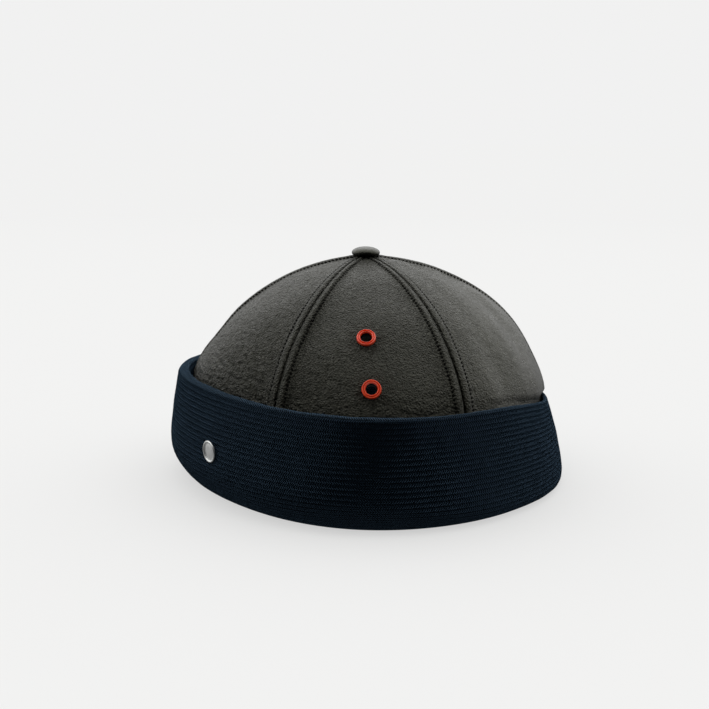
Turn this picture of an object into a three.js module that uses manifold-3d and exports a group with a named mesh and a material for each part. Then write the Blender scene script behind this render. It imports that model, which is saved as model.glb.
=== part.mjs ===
// A docker cap: six leather panels, a covered button, two eyelets in one panel,
// and a thick knitted band folded up into a cuff with a small round badge.
// Millimetres, +Z up, the cuff resting on z = 0, the cap's front towards -X.
// The panel with the eyelets faces -Y. Angles run from +X towards +Y.

import * as THREE from 'three';
import { mergeVertices } from 'three/addons/utils/BufferGeometryUtils.js';
import Module from 'manifold-3d';

const wasm = await Module();
wasm.setup();

// Sizes of the knitted cuff
const HAT_RADIUS = 100;        // mean outer radius at the widest
const CUFF_HEIGHT = 51.5;      // mean height of the folded edge above the floor
const CUFF_LEAN = 8;           // how far the top leans in from the widest place
const CUFF_TUCK = 5.8;         // how far the foot pulls in under the widest place
const CUFF_BELLY = 0.26;       // share of the wall's height where it is widest
const KNIT_THICKNESS = 2.6;    // one ply; the outer one is rolled thicker towards its edge
const ROLL_START = 0.2;        // share of the wall's height where the roll begins
const FOLD_RADIUS = 4;         // rounding of the fold at the foot, outside
const REST_WIDTH = 2.2;        // flat strip that touches the floor
const FOLD_INNER_RADIUS = 3;   // rounding of the fold at the foot, inside

// Sizes of the leather crown
const CROWN_HEIGHT = 112.2;    // apex of the panels above the floor
const CROWN_FULLNESS = 1.85;   // power of the meridian's height: more is fuller
const CROWN_ROUNDNESS = 1.75;  // power of the meridian's radius: less is more pointed
const CROWN_SPACE = 1.2;       // mean space between the cuff's edge and the crown
const CROWN_FOOT = 10;         // how far under the cuff's edge the dome begins
const CROWN_TUCK = 22;         // how far under the cuff's edge the leather ends
const CROWN_BULGE = 2.4;       // how far the slack leather puffs out over the cuff's edge
const BULGE_RISE = 4;          // from the cuff's edge up to the fullest place of the bulge
const BULGE_FALL = 13;         // how slowly the bulge dies out above that
const APEX_OFFSET = 0.85;      // how far the apex is pulled towards the back
const CROWN_TURN = 0.8;        // degrees by which the crown is sewn in turned
const CROWN_TWIST = 1.2;       // more degrees by which its seams bend halfway up
const LEATHER_THICKNESS = 1.4;
const BAND_OVERLAP = 10;       // how far the band's inner ply rises inside the leather
const PANELS = 6;

// Sizes of the seams
const SEAM_GAP = 0.3;
const WELT_WIDTH = 6.5;
const WELT_HEIGHT = 0.8;

// Sizes of the fittings
const BUTTON_DIAMETER = 14.4;
const BUTTON_HEIGHT = 4.6;
const BUTTON_EDGE = 1.6;
const POST_DIAMETER = 2.4;
const POST_SOCKET_DEPTH = 2;
const POST_DISC_DIAMETER = 11;
const POST_DISC_THICKNESS = 0.8;
const EYELET_DIAMETER = 9;
const EYELET_HOLE = 4.4;
const EYELET_WALL = 0.5;
const EYELET_FLANGE = 1.1;
const EYELET_WASHER_DIAMETER = 8.4;
const EYELET_WASHER = 0.6;
const BADGE_DIAMETER = 10.5;
const BADGE_THICKNESS = 1;
const BADGE_RIM = 0.9;
const BADGE_CAP_DIAMETER = 7;
const BADGE_CAP_THICKNESS = 0.8;

// Clearances
const CLEARANCE = 0.3;         // between rigid pieces
const SOFT_CLEARANCE = 0.55;   // between curved leather and what lies on it
const TIP_CLEARANCE = 1;       // between the panels' tips and the post

// Places of the fittings
const EYELETS = [
  { name: 'eyelet_upper', angle: -89.5, height: 82.5 },
  { name: 'eyelet_lower', angle: -87.7, height: 62.3 },
];
const BADGE_ANGLE = -139;
const BADGE_HEIGHT = 26.7;

// The hand-folded cap isn't round. One row for every eighth of a turn, from +X,
// each value a share of the size that it follows: first the cuff's, then the crown's.
const CUFF_SECTIONS = [
  { outline: 1.055, height: 0.80, lean: 1.20, tuck: 0.15, belly: 0.35, roll: 1.00 },
  { outline: 1.020, height: 0.89, lean: 1.10, tuck: 0.80, belly: 0.80, roll: 1.20 },
  { outline: 0.985, height: 0.97, lean: 1.00, tuck: 1.00, belly: 1.20, roll: 1.40 },
  { outline: 0.975, height: 1.01, lean: 0.90, tuck: 1.20, belly: 1.35, roll: 2.00 },
  { outline: 1.000, height: 1.07, lean: 0.50, tuck: 1.40, belly: 1.40, roll: 2.50 },
  { outline: 0.960, height: 1.045, lean: 0.80, tuck: 1.50, belly: 1.40, roll: 2.20 },
  { outline: 1.000, height: 1.00, lean: 0.88, tuck: 0.95, belly: 1.00, roll: 1.60 },
  { outline: 1.018, height: 0.99, lean: 0.80, tuck: 0.70, belly: 0.40, roll: 1.10 },
];
const CROWN_SECTIONS = [
  { space: 0.70, bulge: 1.00, fullness: 1.34 },
  { space: 0.85, bulge: 0.60, fullness: 1.25 },
  { space: 1.00, bulge: 0.20, fullness: 1.06 },
  { space: 1.25, bulge: 0.00, fullness: 0.94 },
  { space: 1.30, bulge: 0.00, fullness: 0.88 },
  { space: 1.00, bulge: 0.00, fullness: 1.03 },
  { space: 1.00, bulge: 0.00, fullness: 0.93 },
  { space: 0.60, bulge: 0.20, fullness: 0.96 },
];
const SECTIONS = CUFF_SECTIONS.map((row, eighth) => ({ ...row, ...CROWN_SECTIONS[eighth] }));
const LEAN_POWER = 1.3;

// Soft dents in the leather: direction, height as a share of the crown's height,
// widths as shares of the hat's radius, and depth as a share of the leather's thickness.
const DENTS = [
  { angle: -128, height: 0.60, across: 0.22, along: 0.12, depth: 0.9 },
  { angle: -105, height: 0.78, across: 0.14, along: 0.10, depth: 0.6 },
  { angle: -40, height: 0.58, across: 0.10, along: 0.20, depth: 0.9 },
  { angle: -18, height: 0.66, across: 0.10, along: 0.16, depth: 0.8 },
  { angle: 178, height: 0.64, across: 0.26, along: 0.10, depth: 1.2 },
  { angle: 118, height: 0.70, across: 0.20, along: 0.14, depth: 1.0 },
  { angle: 66, height: 0.62, across: 0.16, along: 0.16, depth: 0.9 },
  { angle: 24, height: 0.74, across: 0.18, along: 0.12, depth: 0.8 },
];

// Section of one seam allowance, from the seam outwards: the folded edge dips into
// the groove, the doubled leather stands up and then runs out beyond its stitches.
const WELT = [
  { across: 0.00, rise: -0.7 },
  { across: 0.18, rise: 0.65 },
  { across: 0.45, rise: 1.00 },
  { across: 0.72, rise: 0.75 },
  { across: 1.00, rise: 0.00 },
];

// Fineness of the meshes: rows as shares of the way up a panel, and down its skirt
const CUFF_STEPS = 58;
const PANEL_ROWS = [0, 0.045, 0.07, 0.11, 0.17, 0.25, 0.35, 0.46, 0.57, 0.68, 0.79, 0.9, 1];
const SKIRT_ROWS = [1, 0.5];
const PANEL_FIELDS = 6;
const ROUND_STEPS = 20;

const radians = THREE.MathUtils.degToRad;

// A column of the sections' table at any angle, by a closed Catmull-Rom curve.
function share(column, angle) {
  const count = SECTIONS.length;
  const place = THREE.MathUtils.euclideanModulo(angle / (2 * Math.PI), 1) * count;
  const row = Math.floor(place);
  const w = place - row;
  const [a, b, c, d] = [-1, 0, 1, 2].map((step) => SECTIONS[(row + step + count) % count][column]);
  const linear = (c - a) * w;
  const square = (2 * a - 5 * b + 4 * c - d) * w * w;
  const cube = (3 * b - a - 3 * c + d) * w * w * w;
  return 0.5 * (2 * b + linear + square + cube);
}

const cuffTop = (angle) => CUFF_HEIGHT * share('height', angle);

// Outer radius of the cuff's wall, t running from the fold (0) to the rolled edge (1).
function wallRadius(angle, t) {
  const belly = CUFF_BELLY * share('belly', angle);
  const under = Math.max(0, 1 - t / belly);
  const above = Math.max(0, (t - belly) / (1 - belly));
  return HAT_RADIUS * share('outline', angle)
    - CUFF_TUCK * share('tuck', angle) * under ** 2
    - CUFF_LEAN * share('lean', angle) * above ** LEAN_POWER;
}

// How far the wall leans out from the vertical where it leaves the fold, and its height there.
function wallFoot(angle) {
  const belly = CUFF_BELLY * share('belly', angle) * (cuffTop(angle) - FOLD_RADIUS);
  const lean = Math.atan((2 * CUFF_TUCK * share('tuck', angle)) / belly);
  return { lean, height: FOLD_RADIUS * (1 - Math.sin(lean)) };
}

// Thickness of the outer ply at t: one ply at the foot, the full roll at the edge.
function plyThickness(angle, t) {
  const rolled = THREE.MathUtils.smoothstep(t, ROLL_START, 1);
  return KNIT_THICKNESS * THREE.MathUtils.lerp(1, share('roll', angle), rolled);
}

// Height of the wall at t: the rolled edge adds half its thickness above t = 1.
const wallEnds = (angle) => [wallFoot(angle).height, cuffTop(angle) - plyThickness(angle, 1) / 2];

const wallHeight = (angle, t) => THREE.MathUtils.lerp(...wallEnds(angle), t);

const wallShare = (angle, z) => THREE.MathUtils.inverseLerp(...wallEnds(angle), z);

// Radius of the leather where it goes down inside the cuff.
function skirtRadius(angle) {
  return wallRadius(angle, 1) - plyThickness(angle, 1) - CROWN_SPACE * share('space', angle);
}

// Smooth hollow of all the dents at one place of the crown.
function dentDepth(angle, z) {
  return DENTS.reduce((sum, dent) => {
    const turn = Math.atan2(Math.sin(angle - radians(dent.angle)), Math.cos(angle - radians(dent.angle)));
    const across = turn / dent.across;
    const along = (z - dent.height * CROWN_HEIGHT) / (dent.along * HAT_RADIUS);
    return sum + dent.depth * LEATHER_THICKNESS * Math.exp(-across * across - along * along);
  }, 0);
}

// How far the leather puffs out at a height: nothing at the cuff's edge, most a little above it.
function bulgeDepth(angle, z) {
  const above = z - cuffTop(angle);
  const risen = THREE.MathUtils.smoothstep(above, 0, BULGE_RISE);
  const fall = Math.max(0, above - BULGE_RISE) / BULGE_FALL;
  return CROWN_BULGE * share('bulge', angle) * risen * Math.exp(-fall * fall);
}

// A point of the smooth crown, lift 0 at the dome's foot and a quarter turn at the apex.
function crownPoint(angle, lift) {
  const foot = cuffTop(angle) - CROWN_FOOT;
  const rise = Math.sin(lift) ** (2 / (CROWN_FULLNESS * share('fullness', angle)));
  const z = THREE.MathUtils.lerp(foot, CROWN_HEIGHT, rise);
  const dome = skirtRadius(angle) * Math.cos(lift) ** (2 / CROWN_ROUNDNESS);
  const radius = dome + bulgeDepth(angle, z) - dentDepth(angle, z);
  return new THREE.Vector3(radius * Math.cos(angle) + APEX_OFFSET * rise * rise, radius * Math.sin(angle), z);
}

// Turn of a seam away from its even place: the whole crown's, and its bend on the way up.
function seamDrift(up) {
  return radians(CROWN_TURN + CROWN_TWIST * Math.sin(Math.PI * up * up));
}

// The lift at which the crown has a given height or a given radius.
function liftAtHeight(angle, z) {
  const foot = cuffTop(angle) - CROWN_FOOT;
  const rise = (z - foot) / (CROWN_HEIGHT - foot);
  return Math.asin(rise ** (CROWN_FULLNESS * share('fullness', angle) / 2));
}

const liftAtRadius = (angle, radius) => Math.acos((radius / skirtRadius(angle)) ** (CROWN_ROUNDNESS / 2));

// Outward direction of a smooth surface, from two short steps on it.
function outward(surface, u, v) {
  const step = 1e-3;
  const along = surface(u + step, v).sub(surface(u - step, v));
  const up = surface(u, v + step).sub(surface(u, v - step));
  return along.cross(up).normalize();
}

// A closed mesh from vertices and triangles.
function meshGeometry(points, triangles) {
  const geometry = new THREE.BufferGeometry();
  const numbers = points.flatMap((p) => [p.x, p.y, p.z]);
  geometry.setAttribute('position', new THREE.Float32BufferAttribute(numbers, 3));
  geometry.setIndex(triangles);
  return geometry;
}

// A wall with two faces: outer and inner grids with the same rows and columns,
// closed by strips round all four edges. Rows go up, columns go round.
function wallGeometry(outer, inner) {
  const rows = outer.length;
  const columns = outer[0].length;
  const points = [...outer.flat(), ...inner.flat()];
  const at = (side, row, column) => side * rows * columns + row * columns + column;
  const triangles = [];
  const quad = (a, b, c, d) => triangles.push(a, b, c, a, c, d);
  for (let row = 0; row < rows - 1; row += 1) {
    for (let column = 0; column < columns - 1; column += 1) {
      quad(at(0, row, column), at(0, row, column + 1), at(0, row + 1, column + 1), at(0, row + 1, column));
      quad(at(1, row, column), at(1, row + 1, column), at(1, row + 1, column + 1), at(1, row, column + 1));
    }
    const last = columns - 1;
    quad(at(0, row, 0), at(0, row + 1, 0), at(1, row + 1, 0), at(1, row, 0));
    quad(at(0, row, last), at(1, row, last), at(1, row + 1, last), at(0, row + 1, last));
  }
  for (let column = 0; column < columns - 1; column += 1) {
    const last = rows - 1;
    quad(at(0, 0, column), at(1, 0, column), at(1, 0, column + 1), at(0, 0, column + 1));
    quad(at(0, last, column), at(0, last, column + 1), at(1, last, column + 1), at(1, last, column));
  }
  return meshGeometry(points, triangles);
}

// A closed section carried once round the hat: section(angle) gives [radius, height] pairs,
// counter-clockwise with the radius to the right and the height upwards.
function ringGeometry(section, steps) {
  const rings = Array.from({ length: steps }, (_, step) => {
    const angle = (step / steps) * 2 * Math.PI;
    return section(angle).map(([r, z]) => new THREE.Vector3(r * Math.cos(angle), r * Math.sin(angle), z));
  });
  const size = rings[0].length;
  const triangles = [];
  rings.forEach((_, ring) => {
    const next = (ring + 1) % steps;
    for (let i = 0; i < size; i += 1) {
      const j = (i + 1) % size;
      const [a, b, c, d] = [ring * size + i, next * size + i, next * size + j, ring * size + j];
      triangles.push(a, b, c, a, c, d);
    }
  });
  return meshGeometry(rings.flat(), triangles);
}

// A turned piece about +Z from [radius, height] pairs that start and end on the axis
// or come back to their start.
function turnedGeometry(profile) {
  const points = profile.map(([r, z]) => new THREE.Vector2(r, z));
  return new THREE.LatheGeometry(points, ROUND_STEPS).rotateX(Math.PI / 2);
}

// Points of an arc about [r, z] from one angle to another, in degrees.
function arc(r, z, radiusAcross, radiusUp, from, to, steps) {
  return Array.from({ length: steps + 1 }, (_, i) => {
    const angle = radians(THREE.MathUtils.lerp(from, to, i / steps));
    return [r + radiusAcross * Math.cos(angle), z + radiusUp * Math.sin(angle)];
  });
}

function toSolid(geometry) {
  geometry.deleteAttribute('normal');
  geometry.deleteAttribute('uv');
  const merged = mergeVertices(geometry, 1e-5);
  return new wasm.Manifold(new wasm.Mesh({
    numProp: 3,
    vertProperties: new Float32Array(merged.attributes.position.array),
    triVerts: new Uint32Array(merged.index.array),
  }));
}

function fromSolid(solid) {
  const mesh = solid.getMesh();
  const geometry = new THREE.BufferGeometry();
  geometry.setAttribute('position', new THREE.BufferAttribute(mesh.vertProperties, 3));
  geometry.setIndex(new THREE.BufferAttribute(mesh.triVerts, 1));
  return geometry;
}

// A place on a surface: the point, and the turn that lays +Z along the outward direction.
function seat(point, direction) {
  const turn = new THREE.Quaternion().setFromUnitVectors(new THREE.Vector3(0, 0, 1), direction);
  return new THREE.Matrix4().compose(point, turn, new THREE.Vector3(1, 1, 1));
}

// A round hole through a wall at a seat, from above the surface to a depth under it.
function drill(geometry, place, radius, depth) {
  const above = depth;
  const cutter = new THREE.CylinderGeometry(radius, radius, depth + above, ROUND_STEPS);
  cutter.rotateX(Math.PI / 2).translate(0, 0, (above - depth) / 2).applyMatrix4(place);
  return fromSolid(toSolid(geometry).subtract(toSolid(cutter)));
}

// Knitted cuff: section of the band from the foot up the outer ply, over its rolled edge,
// down inside it, round the fold and up the inner ply that stands inside the leather.
function cuffSection(angle) {
  const { lean } = wallFoot(angle);
  const foldCentre = wallRadius(angle, 0) - FOLD_RADIUS * Math.cos(lean);
  const foot = foldCentre + FOLD_RADIUS;
  const half = KNIT_THICKNESS / 2;
  const roll = plyThickness(angle, 1) / 2;
  const edge = wallRadius(angle, 1);
  const top = cuffTop(angle);
  const footWidth = FOLD_RADIUS + REST_WIDTH + FOLD_INNER_RADIUS;
  const bandTop = top - CROWN_TUCK + BAND_OVERLAP;
  const bandRadius = skirtRadius(angle) - LEATHER_THICKNESS - SOFT_CLEARANCE;
  const bandFoot = foot - footWidth + KNIT_THICKNESS;
  const seated = top - CROWN_TUCK - KNIT_THICKNESS;
  const outerWall = [0.12, 0.26, 0.42, 0.6, 0.8, 1];
  const bandWall = [0.25, 0.5, 0.75, 1];
  const innerAt = (t) => [wallRadius(angle, t) - plyThickness(angle, t), wallHeight(angle, t)];
  const bandAt = (t) => [
    THREE.MathUtils.lerp(bandFoot, bandRadius, THREE.MathUtils.smoothstep(t, 0, 1)),
    THREE.MathUtils.lerp(FOLD_RADIUS, seated, t),
  ];
  const crotchWidth = (foot - KNIT_THICKNESS - bandFoot) / 2;
  const crotchDepth = FOLD_RADIUS - KNIT_THICKNESS;
  return [
    ...arc(foldCentre, FOLD_RADIUS, FOLD_RADIUS, FOLD_RADIUS, -90, -THREE.MathUtils.radToDeg(lean), 3),
    ...outerWall.map((t) => [wallRadius(angle, t), wallHeight(angle, t)]),
    ...arc(edge - roll, top - roll, roll, roll, 36, 180, 4),
    ...outerWall.slice(1, -1).reverse().map(innerAt),
    ...arc(bandFoot + crotchWidth, FOLD_RADIUS, crotchWidth, crotchDepth, 0, -180, 4),
    ...bandWall.map(bandAt),
    ...arc(bandRadius - half, bandTop - half, half, half, 0, 180, 3),
    ...bandWall.slice(0, -1).reverse().map(bandAt).map(([r, z]) => [r - KNIT_THICKNESS, z]),
    ...arc(foot - footWidth + FOLD_INNER_RADIUS, FOLD_RADIUS, FOLD_INNER_RADIUS, FOLD_RADIUS, 180, 270, 3),
  ];
}

// One leather panel between two seams, with its welts.
function panelGeometry(middle) {
  const halfTurn = Math.PI / PANELS;
  const tipRadius = POST_DIAMETER / 2 + TIP_CLEARANCE;
  const fields = Array.from({ length: PANEL_FIELDS - 1 }, (_, i) => (i + 1) / PANEL_FIELDS);
  const rows = [
    ...SKIRT_ROWS.map((down) => ({ up: 0, down })),
    ...PANEL_ROWS.map((up) => ({ up, down: 0 })),
  ];

  const columnsAt = (radius) => {
    const halfWidth = radius * halfTurn;
    const scale = Math.min(1, halfWidth / (2 * WELT_WIDTH));
    const edge = halfTurn - SEAM_GAP / 2 / radius;
    const welt = WELT.map(({ across, rise }) => ({
      turn: edge - (across * WELT_WIDTH * scale) / radius,
      rise: rise * WELT_HEIGHT * scale,
    }));
    const free = welt[welt.length - 1].turn;
    return [
      ...welt.map(({ turn, rise }) => ({ turn: -turn, rise })),
      ...fields.map((t) => ({ turn: THREE.MathUtils.lerp(-free, free, t), rise: 0 })),
      ...welt.slice().reverse(),
    ];
  };

  const outer = [];
  const inner = [];
  rows.forEach(({ up, down }) => {
    const radius = THREE.MathUtils.lerp(skirtRadius(middle), tipRadius, 1 - Math.cos((up * Math.PI) / 2));
    const columns = columnsAt(Math.max(radius, tipRadius));
    const points = columns.map(({ turn, rise }) => {
      const angle = middle + turn + seamDrift(up);
      const lift = liftAtRadius(angle, tipRadius) * up;
      const point = crownPoint(angle, Math.max(lift, 1e-3));
      const direction = outward(crownPoint, angle, Math.max(lift, 2e-3));
      if (down > 0) {
        point.z = THREE.MathUtils.lerp(point.z, cuffTop(angle) - CROWN_TUCK, down);
        direction.setZ(0).normalize();
      }
      return { point, direction, rise: rise * (1 - down) };
    });
    const moved = (distance) => points.map((p) => p.point.clone().addScaledVector(p.direction, distance(p)));
    outer.push(moved(({ rise }) => rise));
    inner.push(moved(() => -LEATHER_THICKNESS));
  });
  return wallGeometry(outer, inner);
}

// Where an eyelet sits on the crown.
function eyeletSeat({ angle, height }) {
  const turn = radians(angle);
  const lift = liftAtHeight(turn, height);
  return seat(crownPoint(turn, lift), outward(crownPoint, turn, lift));
}

// Enamelled eyelet: domed flange outside, barrel through the leather, washer inside.
function eyeletGeometry() {
  const hole = EYELET_HOLE / 2;
  const barrel = hole + EYELET_WALL;
  const flange = EYELET_DIAMETER / 2;
  const washer = EYELET_WASHER_DIAMETER / 2;
  const under = -LEATHER_THICKNESS - SOFT_CLEARANCE;
  const middle = (hole + flange) / 2;
  return turnedGeometry([
    [hole, under - EYELET_WASHER],
    [washer, under - EYELET_WASHER],
    [washer, under],
    [barrel, under],
    [barrel, CLEARANCE],
    [flange, CLEARANCE],
    ...arc(middle, CLEARANCE, flange - middle, EYELET_FLANGE, 30, 150, 3),
    [hole, CLEARANCE],
    [hole, under - EYELET_WASHER],
  ]);
}

// Covered button: low dome with a rolled edge and a blind socket for the post, over the apex.
function buttonGeometry() {
  const radius = BUTTON_DIAMETER / 2;
  const base = CROWN_HEIGHT + CLEARANCE;
  const socket = POST_DIAMETER / 2 + CLEARANCE;
  return turnedGeometry([
    [0, base + POST_SOCKET_DEPTH],
    [socket, base + POST_SOCKET_DEPTH],
    [socket, base],
    [radius - BUTTON_EDGE, base],
    [radius, base + BUTTON_EDGE / 2],
    [radius, base + BUTTON_EDGE],
    ...arc(0, base + BUTTON_EDGE, radius, BUTTON_HEIGHT - BUTTON_EDGE, 22, 90, 4),
  ]).translate(APEX_OFFSET, 0, 0);
}

// The button's tack: stem through the apex and a disc inside the crown.
function postGeometry() {
  const stem = POST_DIAMETER / 2;
  const disc = POST_DISC_DIAMETER / 2;
  const discTop = crownPoint(0, liftAtRadius(0, disc)).z - LEATHER_THICKNESS - SOFT_CLEARANCE;
  return turnedGeometry([
    [0, discTop - POST_DISC_THICKNESS],
    [disc, discTop - POST_DISC_THICKNESS],
    [disc, discTop],
    [stem, discTop],
    [stem, CROWN_HEIGHT + POST_SOCKET_DEPTH],
    [0, CROWN_HEIGHT + POST_SOCKET_DEPTH],
  ]).translate(APEX_OFFSET, 0, 0);
}

// Where the badge sits on the cuff's outer ply, and how thick the ply is there.
const badgePly = plyThickness(radians(BADGE_ANGLE), wallShare(radians(BADGE_ANGLE), BADGE_HEIGHT));

function badgeSeat() {
  const turn = radians(BADGE_ANGLE);
  const wallPoint = (angle, t) => {
    const radius = wallRadius(angle, t);
    return new THREE.Vector3(radius * Math.cos(angle), radius * Math.sin(angle), wallHeight(angle, t));
  };
  const t = wallShare(turn, BADGE_HEIGHT);
  return seat(wallPoint(turn, t), outward(wallPoint, turn, t));
}

// Badge: plain disc with a low rim, a stem through the ply and a cap behind it.
function badgeGeometry() {
  const radius = BADGE_DIAMETER / 2;
  const stem = POST_DIAMETER / 2;
  const cap = BADGE_CAP_DIAMETER / 2;
  const face = CLEARANCE + BADGE_THICKNESS;
  const sunk = face - BADGE_THICKNESS / 4;
  const back = -badgePly - SOFT_CLEARANCE;
  return turnedGeometry([
    [0, back - BADGE_CAP_THICKNESS],
    [cap, back - BADGE_CAP_THICKNESS],
    [cap, back],
    [stem, back],
    [stem, CLEARANCE],
    [radius, CLEARANCE],
    [radius, face],
    [radius - BADGE_RIM, face],
    [radius - 1.5 * BADGE_RIM, sunk],
    [0, sunk],
  ]);
}

const leather = new THREE.MeshStandardMaterial({ color: 0x45443f, roughness: 0.5, metalness: 0 });
const knit = new THREE.MeshStandardMaterial({ color: 0x0d1620, roughness: 0.95, metalness: 0 });
const enamel = new THREE.MeshStandardMaterial({ color: 0xe2401f, roughness: 0.25, metalness: 0.1 });
const silver = new THREE.MeshStandardMaterial({ color: 0x9a9b99, roughness: 0.35, metalness: 1 });

const cap = new THREE.Group();

function add(name, geometry, material) {
  const mesh = new THREE.Mesh(geometry, material);
  mesh.name = name;
  cap.add(mesh);
}

// The crown: the first panel faces -Y and holds the eyelets.
const eyeletHole = EYELET_HOLE / 2 + EYELET_WALL + CLEARANCE;
for (let panel = 0; panel < PANELS; panel += 1) {
  const middle = -Math.PI / 2 + (panel * 2 * Math.PI) / PANELS;
  const drilled = panel === 0 ? EYELETS.map(eyeletSeat) : [];
  const geometry = drilled.reduce(
    (solid, place) => drill(solid, place, eyeletHole, 3 * LEATHER_THICKNESS),
    panelGeometry(middle),
  );
  add(`crown_panel_${panel + 1}`, geometry, leather);
}
EYELETS.forEach((eyelet) => add(eyelet.name, eyeletGeometry().applyMatrix4(eyeletSeat(eyelet)), enamel));
add('top_button', buttonGeometry(), leather);
add('button_post', postGeometry(), silver);

// The cuff and its badge
const badgeHole = POST_DIAMETER / 2 + CLEARANCE;
const cuff = ringGeometry(cuffSection, CUFF_STEPS);
add('cuff', drill(cuff, badgeSeat(), badgeHole, badgePly + SOFT_CLEARANCE), knit);
add('badge', badgeGeometry().applyMatrix4(badgeSeat()), silver);

// The origin is the middle of the base.
const middle = new THREE.Box3().setFromObject(cap).getCenter(new THREE.Vector3());
cap.position.set(-middle.x, -middle.y, 0);

export default cap;
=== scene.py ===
# A docker cap: a leather crown of six stitched panels with a covered button and two
# enamelled eyelets, and a navy knitted band folded up into a cuff with a round badge.
# Metres, +Z up, the cap's front towards -X and the panel with the eyelets facing -Y.

import math

import bpy
import numpy as np
from mathutils import Matrix, Vector


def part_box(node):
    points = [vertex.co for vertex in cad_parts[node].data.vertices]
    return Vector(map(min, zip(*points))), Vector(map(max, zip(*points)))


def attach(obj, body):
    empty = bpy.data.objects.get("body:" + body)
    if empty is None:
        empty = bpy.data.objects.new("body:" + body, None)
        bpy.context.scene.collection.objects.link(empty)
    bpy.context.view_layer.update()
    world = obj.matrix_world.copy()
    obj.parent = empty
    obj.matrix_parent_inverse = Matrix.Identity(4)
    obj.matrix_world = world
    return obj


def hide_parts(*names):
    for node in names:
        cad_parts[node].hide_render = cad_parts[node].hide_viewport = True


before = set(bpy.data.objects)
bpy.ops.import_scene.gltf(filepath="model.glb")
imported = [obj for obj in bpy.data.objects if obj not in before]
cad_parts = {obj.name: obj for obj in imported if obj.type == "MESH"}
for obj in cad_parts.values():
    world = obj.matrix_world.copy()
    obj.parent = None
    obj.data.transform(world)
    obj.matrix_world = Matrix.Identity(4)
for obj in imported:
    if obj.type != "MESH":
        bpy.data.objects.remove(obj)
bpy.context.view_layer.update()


# Knitted cuff
# The band is a thick navy knit whose wales run round the hat. It is folded double at
# the foot: the outer ply is turned up round the crown and rolled thick at its edge, and
# the inner ply goes up inside the leather, where it is sewn.
MM = 0.001
HAT_RADIUS = 100 * MM
CUFF_HEIGHT = 51.5 * MM
CUFF_LEAN = 8 * MM
CUFF_TUCK = 5.8 * MM
CUFF_BELLY = 0.26
LEAN_POWER = 1.3
KNIT_THICKNESS = 2.6 * MM
ROLL_START = 0.2
FOLD_RADIUS = 4 * MM
REST_WIDTH = 2.2 * MM
FOLD_INNER_RADIUS = 3 * MM
CROWN_SPACE = 1.2 * MM
CROWN_TUCK = 22 * MM
LEATHER_THICKNESS = 1.4 * MM
BAND_OVERLAP = 10 * MM
SOFT_CLEARANCE = 0.55 * MM
APEX_OFFSET = 0.85 * MM
WALE_PITCH = 2.3 * MM
STITCH_PITCH = 1.15 * MM
EDGE_STITCH_HEIGHT = 1.9 * MM
WALE_RELIEF = 0.09 * MM
CUFF_COLUMNS = 448
WALL_ROWS = 126

# One row for every eighth of a turn from +X, each value a share of its size.
SECTIONS = {
    "outline": [1.055, 1.020, 0.985, 0.975, 1.000, 0.960, 1.000, 1.018],
    "height": [0.80, 0.89, 0.97, 1.01, 1.07, 1.045, 1.00, 0.99],
    "lean": [1.20, 1.10, 1.00, 0.90, 0.50, 0.80, 0.88, 0.80],
    "tuck": [0.15, 0.80, 1.00, 1.20, 1.40, 1.50, 0.95, 0.70],
    "belly": [0.35, 0.80, 1.20, 1.35, 1.40, 1.40, 1.00, 0.40],
    "roll": [1.00, 1.20, 1.40, 2.00, 2.50, 2.20, 1.60, 1.10],
    "space": [0.70, 0.85, 1.00, 1.25, 1.30, 1.00, 1.00, 0.60],
    "bulge": [1.00, 0.60, 0.20, 0.00, 0.00, 0.00, 0.00, 0.20],
    "fullness": [1.34, 1.25, 1.06, 0.94, 0.88, 1.03, 0.93, 0.96],
}


def share(column, angle):
    """A column of the sections' table at any angle: a closed Catmull-Rom curve through its eight values."""
    values = np.array(SECTIONS[column])
    place = np.mod(angle / (2 * np.pi), 1) * len(values)
    row = np.floor(place).astype(int)
    w = place - row
    a, b, c, d = (values[(row + step) % len(values)] for step in (-1, 0, 1, 2))
    linear = (c - a) * w
    square = (2 * a - 5 * b + 4 * c - d) * w**2
    cube = (3 * b - a - 3 * c + d) * w**3
    return 0.5 * (2 * b + linear + square + cube)


def smooth(value):
    """An ease between 0 and 1: three squares less two cubes of the clipped value."""
    t = np.clip(value, 0, 1)
    return t * t * (3 - 2 * t)


def cuff_top(angle):
    """Height of the rolled edge: the cuff's height times its share."""
    return CUFF_HEIGHT * share("height", angle)


def wall_radius(angle, t):
    """Outer radius of the cuff, t from the fold to the edge: the outline, less a square ease
    under the belly, less a power ease above it."""
    belly = CUFF_BELLY * share("belly", angle)
    tucked = CUFF_TUCK * share("tuck", angle) * np.maximum(0, 1 - t / belly)**2
    leaned = CUFF_LEAN * share("lean", angle) * np.maximum(0, (t - belly) / (1 - belly))**LEAN_POWER
    return HAT_RADIUS * share("outline", angle) - tucked - leaned


def wall_lean(angle):
    """Angle from the vertical at which the wall leaves the fold: the slope of the square ease at its
    start."""
    belly = CUFF_BELLY * share("belly", angle) * (cuff_top(angle) - FOLD_RADIUS)
    return np.arctan(2 * CUFF_TUCK * share("tuck", angle) / belly)


def ply_thickness(angle, t):
    """Thickness of the outer ply: one ply at the foot, eased to the full roll at the edge."""
    rolled = smooth((t - ROLL_START) / (1 - ROLL_START))
    return KNIT_THICKNESS * (1 + (share("roll", angle) - 1) * rolled)


def wall_height(angle, t):
    """Height of the wall: from where it leaves the fold to half the roll under its edge."""
    foot = FOLD_RADIUS * (1 - np.sin(wall_lean(angle)))
    return foot + t * (cuff_top(angle) - ply_thickness(angle, 1) / 2 - foot)


def skirt_radius(angle):
    """Radius of the leather where it goes down inside the cuff: the edge, less the roll and the space."""
    return wall_radius(angle, 1.0) - ply_thickness(angle, 1.0) - CROWN_SPACE * share("space", angle)


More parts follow.
